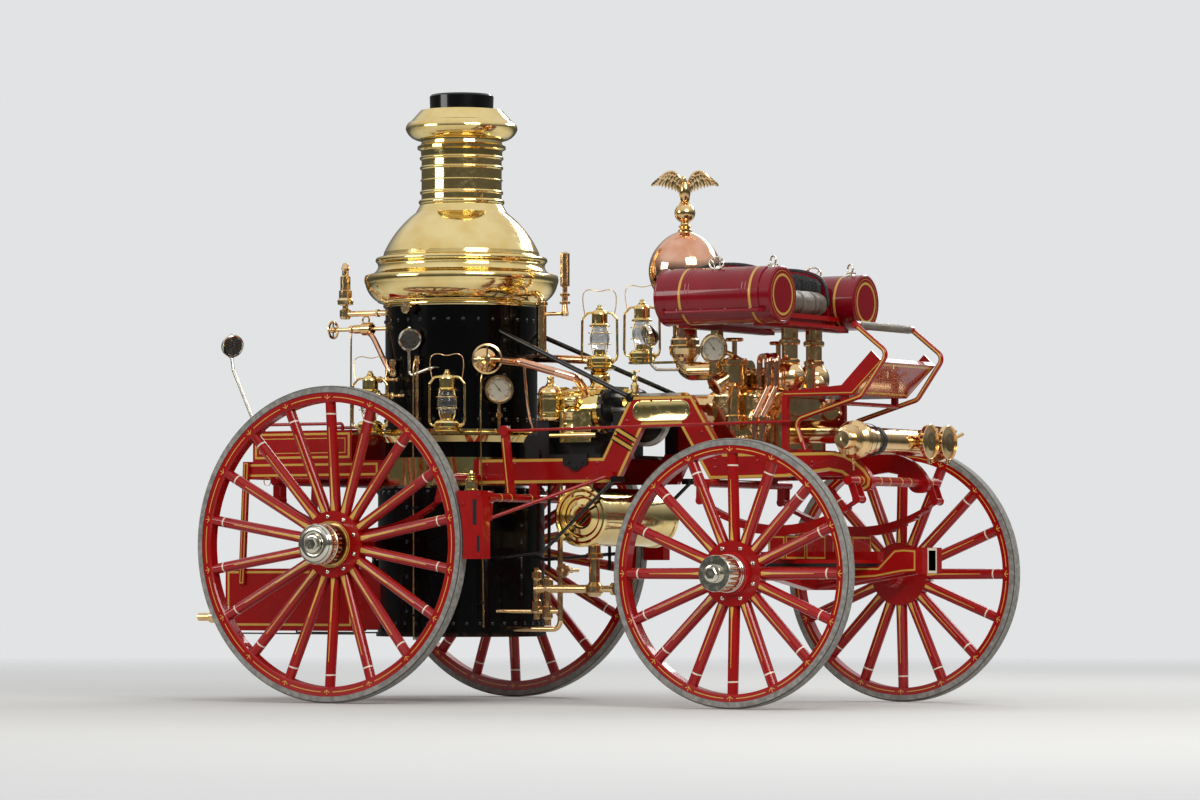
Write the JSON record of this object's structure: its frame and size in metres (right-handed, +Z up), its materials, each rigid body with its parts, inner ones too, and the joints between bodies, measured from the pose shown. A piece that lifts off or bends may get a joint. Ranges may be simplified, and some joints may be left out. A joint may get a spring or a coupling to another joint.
{
  "type": "steam fire engine",
  "caption": "Horse-drawn steam fire engine with an upright brass-topped boiler, crane-neck frame, steam pump, driver's seat between tool cylinders, and turning fore-carriage.",
  "frame": {"origin": "middle of the bounding box's underside, on the ground midway between the front tyre's front edge and the rear nozzle's tip", "axes": "+X forward towards the pole socket, +Y to the engine's left side, +Z up"},
  "size_m": [4.021, 2.09, 2.987],
  "materials": {
    "black_leather": "gloss black buttoned leather",
    "black_paint": "gloss black enamel",
    "dark_iron": "semi-gloss black cast iron",
    "glass": "clear glass",
    "maroon_paint": "dark maroon gloss enamel with gold bands",
    "polished_brass": "polished brass",
    "polished_copper": "polished copper",
    "red_paint": "bright red gloss enamel with gold stripes",
    "tyre_rubber": "grey solid rubber, worn",
    "wheel_wood": "red gloss enamel over wood with white and gold stripes",
    "worn_leather": "worn pale leather front"
  },
  "bodies": {
    "chassis": {"air_chamber": "polished_copper", "air_chamber_union": "polished_brass", "boiler": "black_paint", "boiler_band": "polished_brass", "boiler_shelf": "polished_brass", "bolster": "red_paint", "brake_gear": "red_paint", "brake_shoes": "red_paint", "brass_drum": "polished_brass", "brass_fittings": "polished_brass", "coal_tray": "red_paint", "copper_pipes": "polished_copper", "eagle": "polished_brass", "engine_frame": "dark_iron", "feed_valves": "polished_brass", "footboard": "red_paint", "footboard_irons": "red_paint", "frame_cross_members": "red_paint", "frame_left": "red_paint", "frame_right": "red_paint", "front_springs": "red_paint", "gooseneck_lamps": "black_paint", "lantern_globes": "glass", "lanterns": "polished_brass", "pump": "polished_brass", "pump_valves": "polished_brass", "rear_axle": "red_paint", "rear_nozzle": "polished_brass", "rear_platform": "red_paint", "rear_rails": "red_paint", "rear_springs": "red_paint", "seat_back": "black_leather", "seat_cushion": "worn_leather", "seat_panels": "maroon_paint", "seat_plate": "red_paint", "spring_shackles": "red_paint", "stack": "polished_brass", "stack_cap": "black_paint", "stay_rods": "black_paint", "steam_cylinders": "polished_brass", "suction_caps": "polished_brass", "suction_pipe": "polished_copper", "tool_cylinder_left": "maroon_paint", "tool_cylinder_right": "maroon_paint"},
    "fore_axle": {"front_axle": "red_paint", "fifth_wheel_ring": "dark_iron", "pole_socket": "red_paint"},
    "fire_door": {"fire_door": "dark_iron"},
    "tool_lid_right": {"tool_lid_right": "maroon_paint"},
    "tool_lid_left": {"tool_lid_left": "maroon_paint"},
    "wheel_rear_right": {"wheel_rear_right": "wheel_wood", "tyre_rear_right": "tyre_rubber"},
    "wheel_rear_left": {"wheel_rear_left": "wheel_wood", "tyre_rear_left": "tyre_rubber"},
    "wheel_front_right": {"wheel_front_right": "wheel_wood", "tyre_front_right": "tyre_rubber"},
    "wheel_front_left": {"wheel_front_left": "wheel_wood", "tyre_front_left": "tyre_rubber"}
  },
  "joints": [
    {"name": "steer", "type": "hinge", "parent": "chassis", "child": "fore_axle", "pos_m": [1.3905, 0, 0.66], "axis": [0, 0, 1], "range_deg": [-32, 32]},
    {"name": "fire_door_hinge", "type": "hinge", "parent": "chassis", "child": "fire_door", "pos_m": [-0.99628, -0.19518, 0.57], "axis": [0, 0, 1], "range_deg": [0, 75]},
    {"name": "tool_lid_right_hinge", "type": "hinge", "parent": "chassis", "child": "tool_lid_right", "pos_m": [1.1055, -0.53627, 1.84422], "axis": [1, 0, 0], "range_deg": [0, 100]},
    {"name": "tool_lid_left_hinge", "type": "hinge", "parent": "chassis", "child": "tool_lid_left", "pos_m": [1.1055, 0.53627, 1.84422], "axis": [-1, 0, 0], "range_deg": [0, 100]},
    {"name": "wheel_rear_right_spin", "type": "hinge", "parent": "chassis", "child": "wheel_rear_right", "pos_m": [-0.8235, -0.8475, 0.762], "axis": [0, 1, 0], "continuous": true},
    {"name": "wheel_rear_left_spin", "type": "hinge", "parent": "chassis", "child": "wheel_rear_left", "pos_m": [-0.8235, 0.8475, 0.762], "axis": [0, 1, 0], "continuous": true},
    {"name": "wheel_front_right_spin", "type": "hinge", "parent": "fore_axle", "child": "wheel_front_right", "pos_m": [1.3905, -0.8475, 0.62], "axis": [0, 1, 0], "continuous": true},
    {"name": "wheel_front_left_spin", "type": "hinge", "parent": "fore_axle", "child": "wheel_front_left", "pos_m": [1.3905, 0.8475, 0.62], "axis": [0, 1, 0], "continuous": true}
  ]
}
